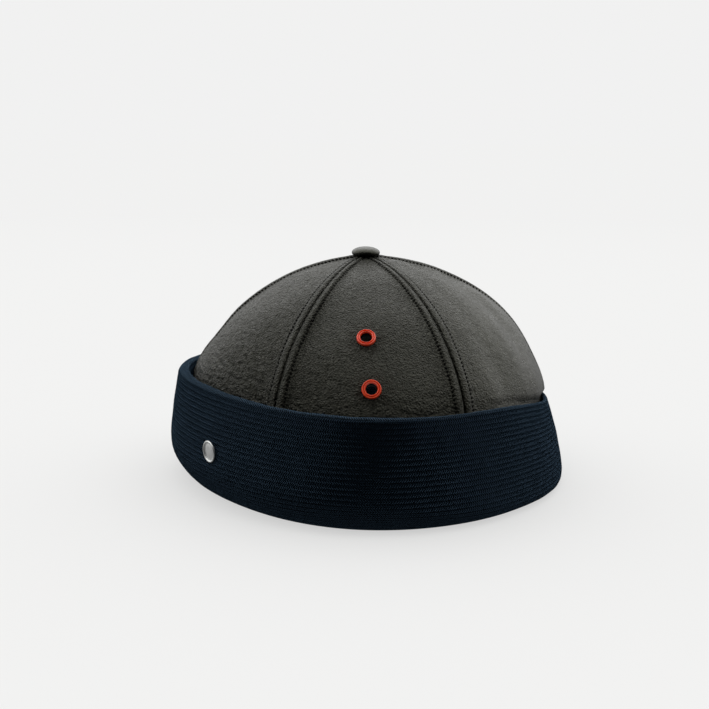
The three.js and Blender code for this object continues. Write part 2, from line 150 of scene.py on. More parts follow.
# The post under the button stands on the crown's apex, which is a little behind the axis.
post_low, post_high = (np.array(corner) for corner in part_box("button_post"))
AXIS = (post_low + post_high) / 2 * (1, 1, 0) - (APEX_OFFSET, 0, 0)


def around(radius, angle, height):
    """Points of a turned surface: radius times the cosine and sine of the angle, from the hat's axis."""
    radius, angle, height = np.broadcast_arrays(radius, angle, height)
    return np.stack([radius * np.cos(angle), radius * np.sin(angle), height], axis=-1) + AXIS


def arc(radius, height, across, up, start, end, count):
    """Radii and heights along an arc, one row for each of count angles from start to end, in degrees."""
    turn = np.radians(np.linspace(start, end, count))[:, None]
    return radius + across * np.cos(turn), height + up * np.sin(turn)


def cuff_section(angle):
    """Radii and heights of the knit's section at each angle: the fold, the outer ply, the roll, the
    ply's inner face, the crotch of the fold, the inner ply up and down again and the inner fold."""
    lean = wall_lean(angle)
    centre = wall_radius(angle, 0.0) - FOLD_RADIUS * np.cos(lean)
    foot = centre + FOLD_RADIUS
    half = KNIT_THICKNESS / 2
    roll = ply_thickness(angle, 1.0) / 2
    edge = wall_radius(angle, 1.0)
    top = cuff_top(angle)
    foot_width = FOLD_RADIUS + REST_WIDTH + FOLD_INNER_RADIUS
    band_top = top - CROWN_TUCK + BAND_OVERLAP
    band_radius = skirt_radius(angle) - LEATHER_THICKNESS - SOFT_CLEARANCE
    band_foot = foot - foot_width + KNIT_THICKNESS
    seated = top - CROWN_TUCK - KNIT_THICKNESS
    crotch = (foot - KNIT_THICKNESS - band_foot) / 2

    def outer_ply(t):
        return wall_radius(angle, t), wall_height(angle, t)

    def inner_face(t):
        return wall_radius(angle, t) - ply_thickness(angle, t), wall_height(angle, t)

    def inner_ply(t, inset=0.0):
        radius = band_foot + (band_radius - band_foot) * smooth(t) - inset
        return radius, FOLD_RADIUS + (seated - FOLD_RADIUS) * t

    def inside(rows):
        return tuple(row[1:] for row in rows)

    parts = [
        arc(centre, FOLD_RADIUS, FOLD_RADIUS, FOLD_RADIUS, -90, 0, 10),
        outer_ply(np.linspace(0, 1, WALL_ROWS)[1:, None]),
        inside(arc(edge - roll, top - roll, roll, roll, 0, 180, 17)),
        inner_face(np.linspace(1, 0.1, 22)[1:, None]),
        arc(band_foot + crotch, FOLD_RADIUS, crotch, FOLD_RADIUS - KNIT_THICKNESS, 0, -180, 7),
        inner_ply(np.linspace(0, 1, 8)[1:, None]),
        arc(band_radius - half, band_top - half, half, half, 0, 180, 8),
        inner_ply(np.linspace(1, 0, 16)[:, None], inset=KNIT_THICKNESS),
        inside(arc(foot - foot_width + FOLD_INNER_RADIUS, FOLD_RADIUS, FOLD_INNER_RADIUS, FOLD_RADIUS,
                   180, 270, 7)),
    ]
    fold_turn = np.linspace(-np.pi / 2, -lean, len(parts[0][0]))
    parts[0] = (centre + FOLD_RADIUS * np.cos(fold_turn), FOLD_RADIUS * (1 + np.sin(fold_turn)))
    radii, heights = ([part[side] for part in parts] for side in (0, 1))
    return (np.concatenate([np.broadcast_to(rows, (len(rows), len(angle))) for rows in side])
            for side in (radii, heights))


def mixed_waves(points, length, seed, count=24, stretch=(1, 1, 1)):
    """Soft noise, mostly between -1 and 1: a sum of sines with random directions and phases,
    whose lengths lie near one length, on points that may be squeezed along an axis."""
    rng = np.random.default_rng(seed)
    directions = rng.normal(size=(count, 3))
    directions /= np.linalg.norm(directions, axis=1, keepdims=True)
    pace = 2 * np.pi / (length * rng.uniform(0.7, 1.4, size=(count, 1)))
    phases = rng.uniform(0, 2 * np.pi, size=count)
    waves = np.sin((points / np.array(stretch)) @ (directions * pace).T + phases)
    return waves.sum(axis=-1) / math.sqrt(count)


def grid_normals(points, wraps=False):
    """Unit normals of a grid: the cross product of its steps along the columns and up the rows."""
    if wraps:
        along = np.roll(points, -1, axis=1) - np.roll(points, 1, axis=1)
    else:
        along = np.gradient(points, axis=1)
    normal = np.cross(along, np.gradient(points, axis=0))
    return normal / np.maximum(np.linalg.norm(normal, axis=-1, keepdims=True), 1e-12)


def grid_faces(rows, columns, wraps_rows=False, wraps_columns=False, start=0):
    """Quads of a grid of points: each joins a point, the next along, the one above that and the one above."""
    row = np.arange(rows if wraps_rows else rows - 1)[:, None]
    column = np.arange(columns if wraps_columns else columns - 1)[None, :]
    above = (row + 1) % rows
    beside = (column + 1) % columns
    corners = (row * columns + column, row * columns + beside,
               above * columns + beside, above * columns + column)
    return start + np.stack(np.broadcast_arrays(*corners), axis=-1).reshape(-1, 4)


def mesh_piece(name, points, faces, material, uv=None):
    """A smooth mesh object at the origin from points and faces, with one UV pair for each point."""
    mesh = bpy.data.meshes.new(name)
    mesh.from_pydata(points.reshape(-1, 3).tolist(), [], faces.tolist())
    mesh.polygons.foreach_set("use_smooth", np.ones(len(mesh.polygons), dtype=bool))
    if uv is not None:
        corners = np.empty(len(mesh.loops), dtype=np.int32)
        mesh.loops.foreach_get("vertex_index", corners)
        layer = mesh.uv_layers.new(name="UVMap")
        layer.data.foreach_set("uv", uv.reshape(-1, 2)[corners].astype(np.float32).ravel())
    mesh.materials.append(material)
    piece = bpy.data.objects.new(name, mesh)
    bpy.context.scene.collection.objects.link(piece)
    return piece


def finish_modifiers(piece):
    """Puts the result of the piece's modifiers in its mesh."""
    bpy.context.view_layer.update()
    made = bpy.data.meshes.new_from_object(piece.evaluated_get(bpy.context.evaluated_depsgraph_get()))
    piece.modifiers.clear()
    piece.data = made


def new_material(name, roughness):
    """A material, its tree, its one Principled shader and the object's coordinates."""
    material = bpy.data.materials.new(name)
    material.use_nodes = True
    tree = material.node_tree
    shader = tree.nodes["Principled BSDF"]
    shader.inputs["Roughness"].default_value = roughness
    return material, tree, shader, node(tree, "ShaderNodeTexCoord").outputs["Object"]


def feed(tree, socket, value):
    """Sets a socket to a value, or links it to another node's output."""
    if isinstance(value, bpy.types.NodeSocket):
        tree.links.new(value, socket)
    else:
        socket.default_value = value


def node(tree, kind, inputs=None, **settings):
    """A shader node with its settings, its inputs set to values or linked to other nodes' outputs."""
    made = tree.nodes.new(kind)
    for key, value in settings.items():
        setattr(made, key, value)
    for key, value in (inputs or {}).items():
        feed(tree, made.inputs[key], value)
    return made


def maths(tree, operation, *values):
    """The result of one arithmetic node on numbers or on other nodes' results."""
    return node(tree, "ShaderNodeMath", dict(enumerate(values)), operation=operation).outputs[0]


def noise(tree, place, scale, detail, stretch=None):
    """Fractal noise on a place, which may be squeezed along its axes first."""
    if stretch is not None:
        place = node(tree, "ShaderNodeMapping", {"Vector": place, "Scale": stretch}).outputs[0]
    inputs = {"Vector": place, "Scale": scale, "Detail": detail}
    return node(tree, "ShaderNodeTexNoise", inputs).outputs["Fac"]


def ramp(tree, value, low, high, bottom=0.0, top=1.0):
    """A value carried from one range to another and clipped there."""
    ends = {"Value": value, "From Min": low, "From Max": high, "To Min": bottom, "To Max": top}
    return node(tree, "ShaderNodeMapRange", ends).outputs[0]


def blend_colors(tree, factor, first, second):
    """A mix of two colours by a factor."""
    made = node(tree, "ShaderNodeMix", {"Factor": factor}, data_type="RGBA")
    for socket, value in ((made.inputs[6], first), (made.inputs[7], second)):
        feed(tree, socket, value if isinstance(value, bpy.types.NodeSocket) else (*value, 1))
    return made.outputs[2]


def raise_bumps(tree, shader, relief, distance):
    """Bumps from a relief, whose height of 1 stands for the distance."""
    bump = node(tree, "ShaderNodeBump", {"Height": relief, "Strength": 1.0, "Distance": distance})
    tree.links.new(bump.outputs["Normal"], shader.inputs["Normal"])


def knit_material():
    """Navy wool: each half wale holds slanted legs of yarn, which lean the other way in the next one.
    A leg's height is a power of a half sine along it times one across it, and stray fibres fuzz it."""
    material, tree, shader, place = new_material("navy_knit", 0.9)
    parts = node(tree, "ShaderNodeSeparateXYZ", {"Vector": place.node.outputs["UV"]})
    along, across = parts.outputs["X"], parts.outputs["Y"]
    wander = noise(tree, place, 300.0, 2.0)
    within = maths(tree, "FRACT", across)
    odd = maths(tree, "PINGPONG", maths(tree, "FLOOR", across), 1.0)
    lean = maths(tree, "MULTIPLY", maths(tree, "SUBTRACT", odd, 0.5), maths(tree, "MULTIPLY", within, 1.7))
    shifted = maths(tree, "ADD", maths(tree, "ADD", along, lean), maths(tree, "MULTIPLY", wander, 0.55))
    leg = maths(tree, "SINE", maths(tree, "MULTIPLY", maths(tree, "FRACT", shifted), math.pi))
    belly = maths(tree, "SINE", maths(tree, "MULTIPLY", within, math.pi))
    yarn = maths(tree, "MULTIPLY", maths(tree, "POWER", leg, 1.3), maths(tree, "POWER", belly, 0.4))
    fuzz = noise(tree, place, 2400.0, 3.0)
    raise_bumps(tree, shader, maths(tree, "ADD", yarn, maths(tree, "MULTIPLY", fuzz, 0.5)), 1.5 * MM)
    patches = noise(tree, place, 42.0, 3.0)
    navy = blend_colors(tree, patches, (0.0006, 0.0030, 0.0064), (0.0022, 0.0078, 0.0140))
    # Painted shade: the gaps between the yarn's legs are painted nearly black, and only the legs' crests are
    # navy.
    lit = blend_colors(tree, yarn, (0.0001, 0.0002, 0.0004), navy)
    stray = ramp(tree, fuzz, 0.60, 0.76, 0.0, 0.55)
    furred = blend_colors(tree, stray, lit, (0.012, 0.026, 0.040))
    # Painted highlight: the yarn of the first half wale on each side of the roll's edge is painted paler.
    edge_row = ramp(tree, maths(tree, "ABSOLUTE", across), 0.9, 1.15, 0.8, 0.0)
    painted_edge_highlight = maths(tree, "MULTIPLY", yarn, edge_row)
    feed(tree, shader.inputs["Base Color"], blend_colors(tree, painted_edge_highlight, furred, (0.030, 0.043, 0.056)))
    shader.inputs["Specular IOR Level"].default_value = 0.0
    shader.inputs["Sheen Weight"].default_value = 0.36
    shader.inputs["Sheen Roughness"].default_value = 0.25
    shader.inputs["Sheen Tint"].default_value = (0.42, 0.68, 1.0, 1)
    return material


cuff_angle = np.linspace(0, 2 * np.pi, CUFF_COLUMNS, endpoint=False)
cuff_radii, cuff_heights = cuff_section(cuff_angle)
cuff_points = around(cuff_radii, cuff_angle, cuff_heights)

# Lengths along the mean section, counted from the top of the roll.
section_steps = np.hypot(np.diff(cuff_radii, axis=0), np.diff(cuff_heights, axis=0)).mean(axis=1)
section_length = np.concatenate([[0], np.cumsum(section_steps)])
edge_row = np.argmax(cuff_heights.mean(axis=1))
from_edge = section_length - section_length[edge_row]

# Half wales from the edge: the first one each way is taller than the rest.
first_wale = np.minimum(np.abs(from_edge), EDGE_STITCH_HEIGHT) / EDGE_STITCH_HEIGHT
other_wales = np.maximum(np.abs(from_edge) - EDGE_STITCH_HEIGHT, 0) / (WALE_PITCH / 2)
half_wales = np.sign(from_edge) * (first_wale + other_wales)
cuff_stitches = round(2 * math.pi * HAT_RADIUS / STITCH_PITCH)


BADGE_ANGLE = math.radians(-139)
BADGE_HEIGHT = 26.7 * MM
DIMPLE_REACH = 7.5 * MM
DIMPLE_DEPTH = 0.5 * MM


def badge_dimple(points, centre):
    """The knit pressed in round the badge: a broad bell curve of the distance to its centre."""
    return -DIMPLE_DEPTH * np.exp(-(np.linalg.norm(points - centre, axis=-1) / DIMPLE_REACH)**4)


def badge_place(angle):
    """The share of the wall's height at which the badge sits: found from the heights of 400 shares."""
    shares = np.linspace(0, 1, 400)
    return float(np.interp(BADGE_HEIGHT, wall_height(np.full(400, angle), shares), shares))


badge_share = badge_place(BADGE_ANGLE)
badge_centre = around(wall_radius(np.array(BADGE_ANGLE), badge_share), BADGE_ANGLE, BADGE_HEIGHT)

# Rounded wales stand out of the knit, and the hand-folded band is a little uneven.
wale_rise = np.abs(np.cos(np.pi * half_wales / 2))**0.7 - 0.6
off_floor = np.clip((cuff_heights - 0.3 * MM) / (2.2 * MM), 0, 1)
long_waves = 0.30 * MM * mixed_waves(cuff_points, 60 * MM, seed=11)
short_waves = 0.10 * MM * mixed_waves(cuff_points, 14 * MM, seed=12)
lift_out = WALE_RELIEF * wale_rise[:, None] + (long_waves + short_waves)
lift_out = lift_out + badge_dimple(cuff_points, badge_centre)
cuff_points = cuff_points + grid_normals(cuff_points, wraps=True) * (lift_out * off_floor)[..., None]

# The first column comes again as the last, so that the UV map is whole, and is then welded to it.
stitch_count = np.linspace(0, cuff_stitches, CUFF_COLUMNS + 1)
cuff_points = np.concatenate([cuff_points, cuff_points[:, :1]], axis=1)
cuff_uv = np.stack(np.broadcast_arrays(stitch_count[None, :], half_wales[:, None]), axis=-1)
cuff_faces = grid_faces(len(half_wales), CUFF_COLUMNS + 1, wraps_rows=True)
knit_cuff = mesh_piece("knit_cuff", cuff_points, cuff_faces, knit_material(), cuff_uv)
weld = knit_cuff.modifiers.new("weld", "WELD")
weld.merge_threshold = 0.002 * MM
finish_modifiers(knit_cuff)
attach(knit_cuff, "root")
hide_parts("cuff")


# Leather panels
# Six gores of thin garment leather make the crown. Each seam is sewn from inside, and its
# allowances are opened and topstitched, so that a soft welt stands on either side of it.
CROWN_HEIGHT = 112.2 * MM
CROWN_FULLNESS = 1.85
CROWN_ROUNDNESS = 1.75
CROWN_FOOT = 10 * MM
CROWN_BULGE = 2.4 * MM
BULGE_RISE = 4 * MM
BULGE_FALL = 13 * MM
CROWN_TURN = math.radians(0.8)
CROWN_TWIST = math.radians(1.2)
SEAM_BOW = math.radians(5.5)
PANELS = 6
SEAM_GAP = 0.3 * MM
SEAM_PRESS = 0.06 * MM
WELT_WIDTH = 6.2 * MM
WELT_HEIGHT = 0.75 * MM
WELT_TAPER = 0.35
STITCH_ROW = 4.5 * MM
WELT_FOLD = 0.7 * MM
WELT_SWELL = 0.5 * MM
GROOVE_DEPTH = 1.1 * MM
VALLEY_WIDTH = 0.56 * MM
VALLEY_DEPTH = 0.58 * MM
PIT_DEPTH = 0.40 * MM
TIP_RADIUS = 2.2 * MM
THREAD_PITCH = 1.9 * MM
PANEL_ROWS = 360
SKIRT_ROWS = 12
WELT_COLUMNS = 18
WELT_SPREAD = 1.2
STITCH_COLUMN = round((WELT_COLUMNS - 1) * (STITCH_ROW / WELT_WIDTH)**(1 / WELT_SPREAD))
FIELD_COLUMNS = 68

# Soft dents in the leather: direction, height as a share of the crown's height, widths as
# shares of the hat's radius and depth as a share of the leather's thickness.
DENTS = {
    "angle": [-128, -105, -40, -18, 178, 118, 66, 24],
    "height": [0.60, 0.78, 0.58, 0.66, 0.64, 0.70, 0.62, 0.74],
    "across": [0.22, 0.14, 0.10, 0.10, 0.26, 0.20, 0.16, 0.18],
    "along": [0.12, 0.10, 0.20, 0.16, 0.10, 0.14, 0.16, 0.12],
    "depth": [0.9, 0.6, 0.9, 0.8, 1.2, 1.0, 0.9, 0.8],
}


def turn_between(angle, direction):
    """The shorter turn from a direction to an angle, both in radians."""
    return np.angle(np.exp(1j * (angle - direction)))


def dent_depth(angle, height):
    """Sum of soft hollows: each a bell curve of the turn from its direction and the height from its own."""
    total = 0.0
    for direction, level, across, along, depth in zip(*DENTS.values()):
        turn = turn_between(angle, math.radians(direction)) / across
        rise = (height - level * CROWN_HEIGHT) / (along * HAT_RADIUS)
        total = total + depth * LEATHER_THICKNESS * np.exp(-turn**2 - rise**2)
    return total


def bulge_depth(angle, height):
    """How far the leather puffs out: eased in above the cuff's edge, then a falling bell curve."""
    above = height - cuff_top(angle)
    fall = np.maximum(0, above - BULGE_RISE) / BULGE_FALL
    return CROWN_BULGE * share("bulge", angle) * smooth(above / BULGE_RISE) * np.exp(-fall**2)


def crown_point(angle, lift):
    """The smooth crown: height and radius are powers of the sine and cosine of the lift, which is 0 at
    the dome's foot and a quarter turn at the apex, with the bulge, less the dents, drawn to the apex."""
    foot = cuff_top(angle) - CROWN_FOOT
    rise = np.sin(lift)**(2 / (CROWN_FULLNESS * share("fullness", angle)))
    height = foot + (CROWN_HEIGHT - foot) * rise
    dome = skirt_radius(angle) * np.cos(lift)**(2 / CROWN_ROUNDNESS)
    points = around(dome + bulge_depth(angle, height) - dent_depth(angle, height), angle, height)
    points[..., 0] += APEX_OFFSET * rise**2
    return points


def lift_at_radius(angle, radius):
    """The lift at which the dome has a radius: the arc cosine of its power."""
    return np.arccos((radius / skirt_radius(angle))**(CROWN_ROUNDNESS / 2))


def lift_at_height(angle, height):
    """The lift at which the crown has a height: the arc sine of its power."""
    foot = cuff_top(angle) - CROWN_FOOT
    rise = (height - foot) / (CROWN_HEIGHT - foot)
    return np.arcsin(rise**(CROWN_FULLNESS * share("fullness", angle) / 2))


def seam_drift(even, up):
    """Turn of the leather away from its even place: the whole crown's, its bend on the way up, and a bow
    of the two side seams towards the back, which is nothing at the other four."""
    bow = SEAM_BOW * (2 * np.cos(even) + np.cos(3 * even)) / 3 * np.sin(np.pi * up)
    return CROWN_TURN + CROWN_TWIST * np.sin(np.pi * up**2) + bow


def welt_scale(radius):
    """Width of the welts as a share of their full width: a root of the radius, held within the panel."""
    return np.minimum((radius / HAT_RADIUS)**WELT_TAPER, radius * math.pi / PANELS / (1.25 * WELT_WIDTH))


def lengths_up(points):
    """Length from the first row up to each row, for each column of a grid."""
    steps = np.linalg.norm(np.diff(points, axis=0), axis=-1)
    return np.concatenate([np.zeros_like(steps[:1]), np.cumsum(steps, axis=0)])


def welt_rise(distance, scale, along):
    """Height of the leather beside a seam: a rounded fold that dives into the groove, a soft plateau,
    a valley pulled down by each stitch, and an easy run down to the panel."""
    row = STITCH_ROW * scale
    fold = np.sqrt(1 - (1 - np.clip(distance / WELT_FOLD, 0, 1))**2)
    fall = smooth((distance - row) / (WELT_WIDTH * scale - row))
    body = (WELT_HEIGHT * scale**0.5 + GROOVE_DEPTH) * fold - GROOVE_DEPTH
    swell = WELT_SWELL * np.sin(np.pi * np.clip(distance / row, 0, 1)) * scale
    valley = np.exp(-((distance - row) / VALLEY_WIDTH)**2)
    pulled = VALLEY_DEPTH + PIT_DEPTH * np.cos(2 * np.pi * along / THREAD_PITCH)
    return body * (1 - fall) + swell - pulled * valley


def creases(points, length, seed, stretch=(1, 1, 1), sharpness=2.4):
    """Narrow furrows from 0 down to -1: the absolute value of soft noise, turned over near its zero."""
    return -np.clip(1 - np.abs(mixed_waves(points, length, seed, 18, stretch)) * sharpness, 0, 1)**1.4


EYELETS = {
    "eyelet_upper": (math.radians(-89.5), 82.5 * MM),
    "eyelet_lower": (math.radians(-87.7), 62.3 * MM),
}


def seat_on(surface, u, v):
    """A place on a surface: a matrix whose Z runs along the surface's normal, from two short steps."""
    step = 1e-4
    along = surface(u + step, v) - surface(u - step, v)
    up = surface(u, v + step) - surface(u, v - step)
    normal = Vector(np.cross(along, up)).normalized()
    turn = Vector((0, 0, 1)).rotation_difference(normal).to_matrix().to_4x4()
    return Matrix.Translation(Vector(surface(u, v))) @ turn


eyelet_seats = {
    name: seat_on(crown_point, angle, float(lift_at_height(angle, height)))
    for name, (angle, height) in EYELETS.items()
}


def wear(points, angle):
    """Creases and folds of worn leather: crinkles by the cuff at the front left, flat wrinkles over the
    cuff under the lower eyelet, slack folds on the panel behind and puckers round each eyelet."""
    above = np.maximum(points[..., 2] - cuff_top(angle), 0)

    def facing(centre, width):
        return np.exp(-(turn_between(angle, math.radians(centre)) / math.radians(width))**2)

    def near_cuff(reach):
        return np.exp(-(above / reach)**2)

    crinkled = 0.35 + 1.5 * facing(-135, 34) * near_cuff(26 * MM) + 0.5 * facing(150, 60) * near_cuff(40 * MM)
    rise = 0.20 * MM * creases(points, 6.5 * MM, 3) * crinkled
    rise = rise + 0.10 * MM * mixed_waves(points, 3.4 * MM, 4) * crinkled
    wrinkles = 0.36 * MM * creases(points, 13 * MM, 5, (2.6, 2.6, 0.7))
    rise = rise + wrinkles * facing(-66, 16) * near_cuff(12 * MM)
    rise = rise + 0.45 * MM * mixed_waves(points, 17 * MM, 9, stretch=(1, 1, 3.4)) * facing(-20, 24)
    rise = rise + 0.30 * MM * mixed_waves(points, 38 * MM, 21)
    for seat in eyelet_seats.values():
        offset = points - np.array(seat.translation)
        reach = np.linalg.norm(offset, axis=-1)
        spoke = np.arctan2(offset[..., 2], offset[..., 0])
        ring = np.exp(-((reach - 7.0 * MM) / (2.8 * MM))**2)
        rise = rise + 0.12 * MM * np.sin(10 * spoke + 1.3 * np.sin(2 * spoke)) * ring
        rise = rise - 0.50 * MM * np.exp(-(reach / (5.0 * MM))**2)
    return rise


def leather_material(name, color, deep, roughness, grain_depth):
    """Satin garment leather: pebbles between fine creases, a finer grain on top, cloudy colour, painted shade
    in the creases and uneven gloss. The grain is flatter towards the back of the hat."""
    material, tree, shader, place = new_material(name, roughness)
    shaken = node(tree, "ShaderNodeVectorMath", {
        0: place,
        1: node(tree, "ShaderNodeVectorMath", {
            0: node(tree, "ShaderNodeTexNoise", {"Vector": place, "Scale": 500.0}).outputs["Color"],
            "Scale": 1.1 * MM}, operation="SCALE").outputs[0],
    }, operation="ADD").outputs[0]
    cells = node(tree, "ShaderNodeTexVoronoi", {"Vector": shaken, "Scale": 780.0},
                 feature="DISTANCE_TO_EDGE").outputs["Distance"]
    pebbles = ramp(tree, cells, 0.0, 0.28)
    furrows = maths(tree, "ABSOLUTE", maths(tree, "SUBTRACT", noise(tree, shaken, 330.0, 3.0), 0.5))
    folds = ramp(tree, furrows, 0.0, 0.07)
    fine = noise(tree, place, 1500.0, 3.0)
    lumps = noise(tree, place, 260.0, 3.0)
    clouds = noise(tree, place, 26.0, 4.0)
    relief = maths(tree, "ADD", maths(tree, "MULTIPLY", pebbles, 0.75), maths(tree, "MULTIPLY", fine, 0.55))
    relief = maths(tree, "ADD", relief, maths(tree, "MULTIPLY", lumps, 0.8))
    relief = maths(tree, "ADD", relief, maths(tree, "MULTIPLY", folds, 0.45))
    back_of_hat = node(tree, "ShaderNodeSeparateXYZ", {"Vector": place}).outputs["X"]
    stretched = ramp(tree, back_of_hat, 10 * MM, 55 * MM, 1.0, 0.24)
    raise_bumps(tree, shader, maths(tree, "MULTIPLY", relief, stretched), grain_depth)
    cloudy = blend_colors(tree, clouds, deep, color)
    # Painted shade: the colour is darkened at the pebbles' edges, in the grain's creases.
    crease_shaded_color = blend_colors(tree, ramp(tree, cells, 0.0, 0.12), tuple(0.45 * c for c in deep), cloudy)
    feed(tree, shader.inputs["Base Color"], crease_shaded_color)
    feed(tree, shader.inputs["Roughness"], ramp(tree, lumps, 0.3, 0.7, roughness - 0.07, roughness + 0.08))
    shader.inputs["Specular IOR Level"].default_value = 0.45
    shader.inputs["Specular Tint"].default_value = (1.0, 1.0, 0.80, 1)
    return material


crown_leather = leather_material("crown_leather", (0.0105, 0.0105, 0.0078), (0.0052, 0.0052, 0.0040),
                                 roughness=0.32, grain_depth=0.66 * MM)
flesh_side = leather_material("leather_flesh_side", (0.085, 0.075, 0.062), (0.050, 0.044, 0.036),
                              roughness=0.9, grain_depth=0.2 * MM)
dome_rows = np.linspace(0, 1, PANEL_ROWS)
skirt_rows = np.linspace(1, 0, SKIRT_ROWS, endpoint=False)


def turned(points, angle):
    """Points turned about the hat's axis: x and y mixed by the angle's cosine and sine."""
    x, y, z = (points - AXIS).T
    turned_x = x * np.cos(angle) - y * np.sin(angle)
    turned_y = x * np.sin(angle) + y * np.cos(angle)
    return np.stack([turned_x, turned_y, z], axis=-1) + AXIS


def panel_faces(middle):
    """Outer and inner grids of one panel: rows go up the meridian, columns lie close over the welts. The
    inner edges reach the next panel's, so that the seam is closed under its groove."""
    half_turn = np.pi / PANELS
    up = np.concatenate([np.zeros(SKIRT_ROWS), dome_rows])[:, None]
    down = np.concatenate([skirt_rows, 0 * dome_rows])[:, None]
    highest = lift_at_radius(middle, TIP_RADIUS)
    radius = skirt_radius(middle) * np.cos(highest * up)**(2 / CROWN_ROUNDNESS)
    scale = welt_scale(radius)
    near = np.linspace(0, 1, WELT_COLUMNS)[None, :]**WELT_SPREAD * WELT_WIDTH * scale
    edge = half_turn - SEAM_GAP / 2 / radius
    welt_turn = edge - near / radius
    field = welt_turn[:, -1:] * np.linspace(-1, 1, FIELD_COLUMNS)[None, 1:-1]
    turn = np.concatenate([-welt_turn, field, welt_turn[:, ::-1]], axis=1)
    distance = (edge - np.abs(turn)) * radius
    angle = middle + turn + seam_drift(middle + turn, up)
    points = crown_point(angle, np.maximum(lift_at_radius(angle, TIP_RADIUS) * up, 1e-3))
    lengths = lengths_up(points)
    along = np.where(turn < 0, lengths[:, [STITCH_COLUMN]], lengths[:, [-1 - STITCH_COLUMN]])
    points[..., 2] += (cuff_top(angle) - CROWN_TUCK - points[..., 2]) * down
    normals = grid_normals(points)
    normals[:SKIRT_ROWS, :, 2] = 0
    inner = points - normals * LEATHER_THICKNESS
    sewn = (SEAM_GAP / 2 + SEAM_PRESS) / radius[:, 0]
    for column, side in ((0, -1), (-1, 1)):
        inner[:, column] = turned(inner[:, column], side * sewn)
    worn = wear(points, angle) * (0.2 + 0.8 * smooth(distance / WELT_WIDTH))
    rise = welt_rise(distance, scale, along) + worn
    return points + normals * (rise * (1 - down))[..., None], inner


def wall_quads(rows, columns):
    """Faces of a wall: the outer grid, the inner grid turned over, and strips round the four edges."""
    size = rows * columns
    bottom = np.arange(columns)
    left = np.arange(rows) * columns
    faces = [grid_faces(rows, columns), grid_faces(rows, columns, start=size)[:, ::-1]]
    for line in (bottom[::-1], bottom + size - columns, left, (left + columns - 1)[::-1]):
        faces.append(np.stack([line[:-1], line[1:], line[1:] + size, line[:-1] + size], axis=-1))
    return np.concatenate(faces)


def cut_hole(piece, seat, radius, depth):
    """Cuts a round hole through a piece with a plain cylinder that stands on the seat."""
    rounds = np.linspace(0, 2 * np.pi, 48, endpoint=False)
    ring = np.stack([radius * np.cos(rounds), radius * np.sin(rounds), 0 * rounds], axis=-1)
    tube = np.concatenate([ring - (0, 0, depth), ring + (0, 0, depth)])
    sides = grid_faces(2, 48, wraps_columns=True).tolist()
    mesh = bpy.data.meshes.new("cutter")
    mesh.from_pydata(tube.tolist(), [], [*sides, list(range(47, -1, -1)), list(range(48, 96))])
    mesh.transform(seat)
    cutter = bpy.data.objects.new("cutter", mesh)
    bpy.context.scene.collection.objects.link(cutter)
    cut = piece.modifiers.new("cut", "BOOLEAN")
    cut.object = cutter
    cut.solver = "EXACT"
    finish_modifiers(piece)
    bpy.data.objects.remove(cutter)


EYELET_HOLE = 4.4 * MM
EYELET_WALL = 0.5 * MM
CLEARANCE = 0.3 * MM

for number in range(PANELS):
    outer_face, inner_face = panel_faces(-np.pi / 2 + number * 2 * np.pi / PANELS)
    rows, columns = outer_face.shape[:2]
    name = f"leather_panel_{number + 1}"
    panel = mesh_piece(name, np.stack([outer_face, inner_face]), wall_quads(rows, columns), crown_leather)
    panel.data.materials.append(flesh_side)
    face_count = (rows - 1) * (columns - 1)
    is_inside = np.zeros(len(panel.data.polygons), dtype=np.int32)
    is_inside[face_count:2 * face_count] = 1
    panel.data.polygons.foreach_set("material_index", is_inside)
    if number == 0:
        for seat in eyelet_seats.values():
            cut_hole(panel, seat, EYELET_HOLE / 2 + EYELET_WALL + CLEARANCE, 3 * LEATHER_THICKNESS)
    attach(panel, "root")
    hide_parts(f"crown_panel_{number + 1}")


# Topstitching
# Black waxed thread runs up both sides of every seam, from the cuff to the button. Each
# stitch is a short plump strand whose ends go down into their holes.
THREAD_RADIUS = 0.42 * MM
STITCH_LENGTH = 0.72
THREAD_SIDES = 6
THREAD_RINGS = 5
BUTTON_SHADE = 6.4 * MM


def thread_rows(seam, side):
    """Stitches of one row beside a seam: centres, directions and normals on the leather, evenly spaced."""
    up = np.linspace(0.0, 1, 900)
    highest = lift_at_radius(seam, TIP_RADIUS)
    radius = skirt_radius(seam) * np.cos(highest * up)**(2 / CROWN_ROUNDNESS)
    even = seam + side * (SEAM_GAP / 2 + STITCH_ROW * welt_scale(radius)) / radius
    angle = even + seam_drift(even, up)
    highest = lift_at_radius(angle, TIP_RADIUS)
    line = crown_point(angle, np.maximum(highest * up, 1e-3))
    length = lengths_up(line[:, None])[:, 0]
    starts = length[np.argmax(line[:, 2] > cuff_top(angle) - 4 * MM)]
    ends = np.interp(BUTTON_SHADE, radius[::-1], length[::-1])
    first, last = math.ceil(starts / THREAD_PITCH), math.floor(ends / THREAD_PITCH)
    places = np.arange(first, last + 1) * THREAD_PITCH
    share_up = np.interp(places, length, up)
    spot = np.stack([np.interp(places, length, line[:, axis]) for axis in range(3)], axis=-1)
    ahead = np.stack([np.interp(places + 0.2 * MM, length, line[:, axis]) for axis in range(3)], axis=-1)
    turn = np.interp(places, length, angle)
    beside = crown_point(turn + 1e-3, np.maximum(lift_at_radius(turn, TIP_RADIUS) * share_up, 1e-3)) - spot
    direction = (ahead - spot) / np.linalg.norm(ahead - spot, axis=1, keepdims=True)
    normal = np.cross(beside, direction)
    return spot, direction, normal / np.linalg.norm(normal, axis=1, keepdims=True)


